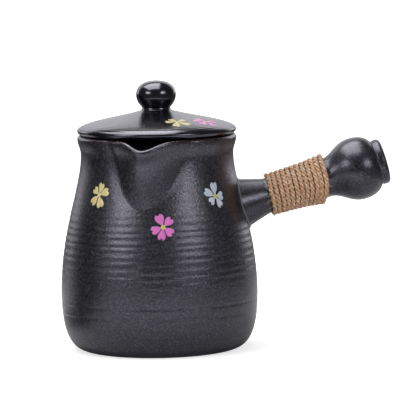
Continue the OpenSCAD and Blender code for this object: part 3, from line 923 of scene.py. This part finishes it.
def hangLamps():
    for name, place, aim, wide, tall, level, shine in lamps:
        way = Vector(aim) - Vector(place)
        for part, radiance in (("light", level), ("shine", shine)):
            data = bpy.data.lights.new(name + " " + part, "AREA")
            data.shape, data.size, data.size_y = "RECTANGLE", wide, tall
            data.energy = radiance * math.pi * wide * tall
            lamp = bpy.data.objects.new(data.name, data)
            lamp.location = place
            lamp.rotation_euler = way.to_track_quat("-Z", "Y").to_euler()
            if part == "shine":
                # the lamp for the shine hangs a little in front of the other
                lamp.location += way.normalized() * shineAhead
                lamp.visible_diffuse = False
            else:
                lamp.visible_glossy = False
            bpy.context.scene.collection.objects.link(lamp)


def paintRoom():
    world = bpy.data.worlds.new("studio")
    bpy.context.scene.world = world
    world.use_nodes = True
    tree = world.node_tree
    ray = addNode(tree, "ShaderNodeLightPath", out="Is Camera Ray")
    seen = ray.math("MAXIMUM", ray, ray.beside("Is Transmission Ray"))
    shiny = ray.beside("Is Glossy Ray")
    # reflections see a white backdrop behind the pot and a dim room on the camera's side
    x, y, z = axes(addNode(tree, "ShaderNodeTexCoord", out="Generated"))
    # the backdrop grows brighter upwards as far as its top edge, and is bright at its two sides
    panel = ramp(z, room["riseFrom"], room["riseTo"], room["backLow"], room["backHigh"])
    flank = ramp(x.math("ABSOLUTE", x), room["flankFrom"], room["flankTo"], 0.0, room["flank"])
    panel = panel + flank * ramp(z, room["riseFrom"], room["riseTo"], 1.0, 0.0)
    panel = panel * ramp(y, room["backFrom"], room["backTo"])
    panel = panel * ramp(z, room["cutFrom"], room["cutTo"], 1.0, 0.0)
    mirror = room["mirrored"] - room["surround"] + panel
    level = room["surround"] + seen * (1.0 - room["surround"]) + shiny * mirror
    tones = {0: shiny, 6: (1, 1, 1, 1), 7: room["hue"]}
    hue = addNode(tree, "ShaderNodeMix", dict(data_type="RGBA"), tones, out=2)
    sky = addNode(tree, "ShaderNodeVectorMath", dict(operation="SCALE"), {0: hue, "Scale": level})
    tree.links.new(sky.socket, tree.nodes["Background"].inputs["Color"])


# floor and cards
floor = dict(half=12.0, colour=(0.80, 0.80, 0.80, 1), glow=0.64, glowFrom=0.18, glowTo=0.60,
             shinyGlow=1.5, shinyFrom=0.05, shinyTo=0.28, poolPlace=(0.06, 0.30, 0.0), poolFrom=0.12,
             poolTo=0.38, poolEnd=0.20, edgeFrom=0.37, edgeTo=0.47, beyond=0.16)
cards = dict(colour=(0.01, 0.01, 0.01, 1),
             upright=((-0.2, -0.09, 0), (-0.2, 0.06, 0), (-0.2, 0.17, 0.145), (-0.2, 0.0, 0.155)),
             # the flat card is a painted shadow of the upright card on the paper
             flat=((-0.2, -0.035, 0.0005), (-0.095, -0.035, 0.0005), (-0.095, 0.09, 0.0005),
                   (-0.2, 0.09, 0.0005)))


def makeStage(name, corners, material):
    bm = bmesh.new()
    bmesh.ops.create_grid(bm, x_segments=1, y_segments=1, size=1.0)
    for v in bm.verts:
        right, up = v.co.x > 0, v.co.y > 0
        v.co = corners[(2 if right else 3) if up else (1 if right else 0)]
    mesh = bpy.data.meshes.new(name)
    bm.to_mesh(mesh)
    bm.free()
    mesh.materials.append(material)
    thing = bpy.data.objects.new(name, mesh)
    bpy.context.scene.collection.objects.link(thing)
    return thing


def layFloor():
    f = Finish("white paper", Base_Color=floor["colour"], Roughness=0.9, Specular_IOR_Level=0.1,
               Emission_Strength=1.0)
    far = f.node("ShaderNodeVectorMath", dict(operation="LENGTH"), {0: f.place}, out="Value")
    pool = f.node("ShaderNodeVectorMath", dict(operation="ADD"), {0: f.place, 1: floor["poolPlace"]})
    pool = f.node("ShaderNodeVectorMath", dict(operation="LENGTH"), {0: pool}, out="Value")
    ray = f.node("ShaderNodeLightPath", out="Is Camera Ray")
    shiny = ray.beside("Is Glossy Ray")
    # the paper is pure white away from the pot and keeps the pot's shadow near it
    shown = ray * ramp(far, floor["glowFrom"], floor["glowTo"], floor["glow"], 1.0)
    # in the glaze it shows a painted pool of light before the pot, and painted shade where the glow fades
    # out close round the pot
    lit = ramp(far, floor["shinyFrom"], floor["shinyTo"], 0.0, floor["shinyGlow"])
    lit = lit * ramp(pool, floor["poolFrom"], floor["poolTo"], 1.0, floor["poolEnd"])
    f.feed(Emission_Color=shown + shiny * lit)
    # reflections see a sheet of paper on a table, with a painted dim glow for the room beyond it
    dim = f.node("ShaderNodeEmission", None, {"Strength": floor["beyond"]})
    edge = shiny * ramp(far, floor["edgeFrom"], floor["edgeTo"])
    mix = f.node("ShaderNodeMixShader", None, {0: edge, 1: Wire(f.tree, f.shader.outputs[0]), 2: dim})
    f.tree.links.new(mix.socket, f.tree.nodes["Material Output"].inputs["Surface"])
    wide = floor["half"]
    makeStage("floor", ((-wide, -wide, 0), (wide, -wide, 0), (wide, wide, 0), (-wide, wide, 0)), f.material)


def layCards():
    # two black cards at the left, seen only in the glaze: an upright one, and a flat one on the floor that
    # is a painted shadow of the upright one
    felt = Finish("black card", Base_Color=cards["colour"], Roughness=1.0).material
    for kind in ("upright", "flat"):
        card = makeStage(kind + "_card", cards[kind], felt)
        card.visible_camera = card.visible_diffuse = False
        card.visible_shadow = card.visible_transmission = False


bpy.context.scene.view_settings.view_transform = "Standard"
hangLamps()
paintRoom()
layFloor()
layCards()
print("stage lit")
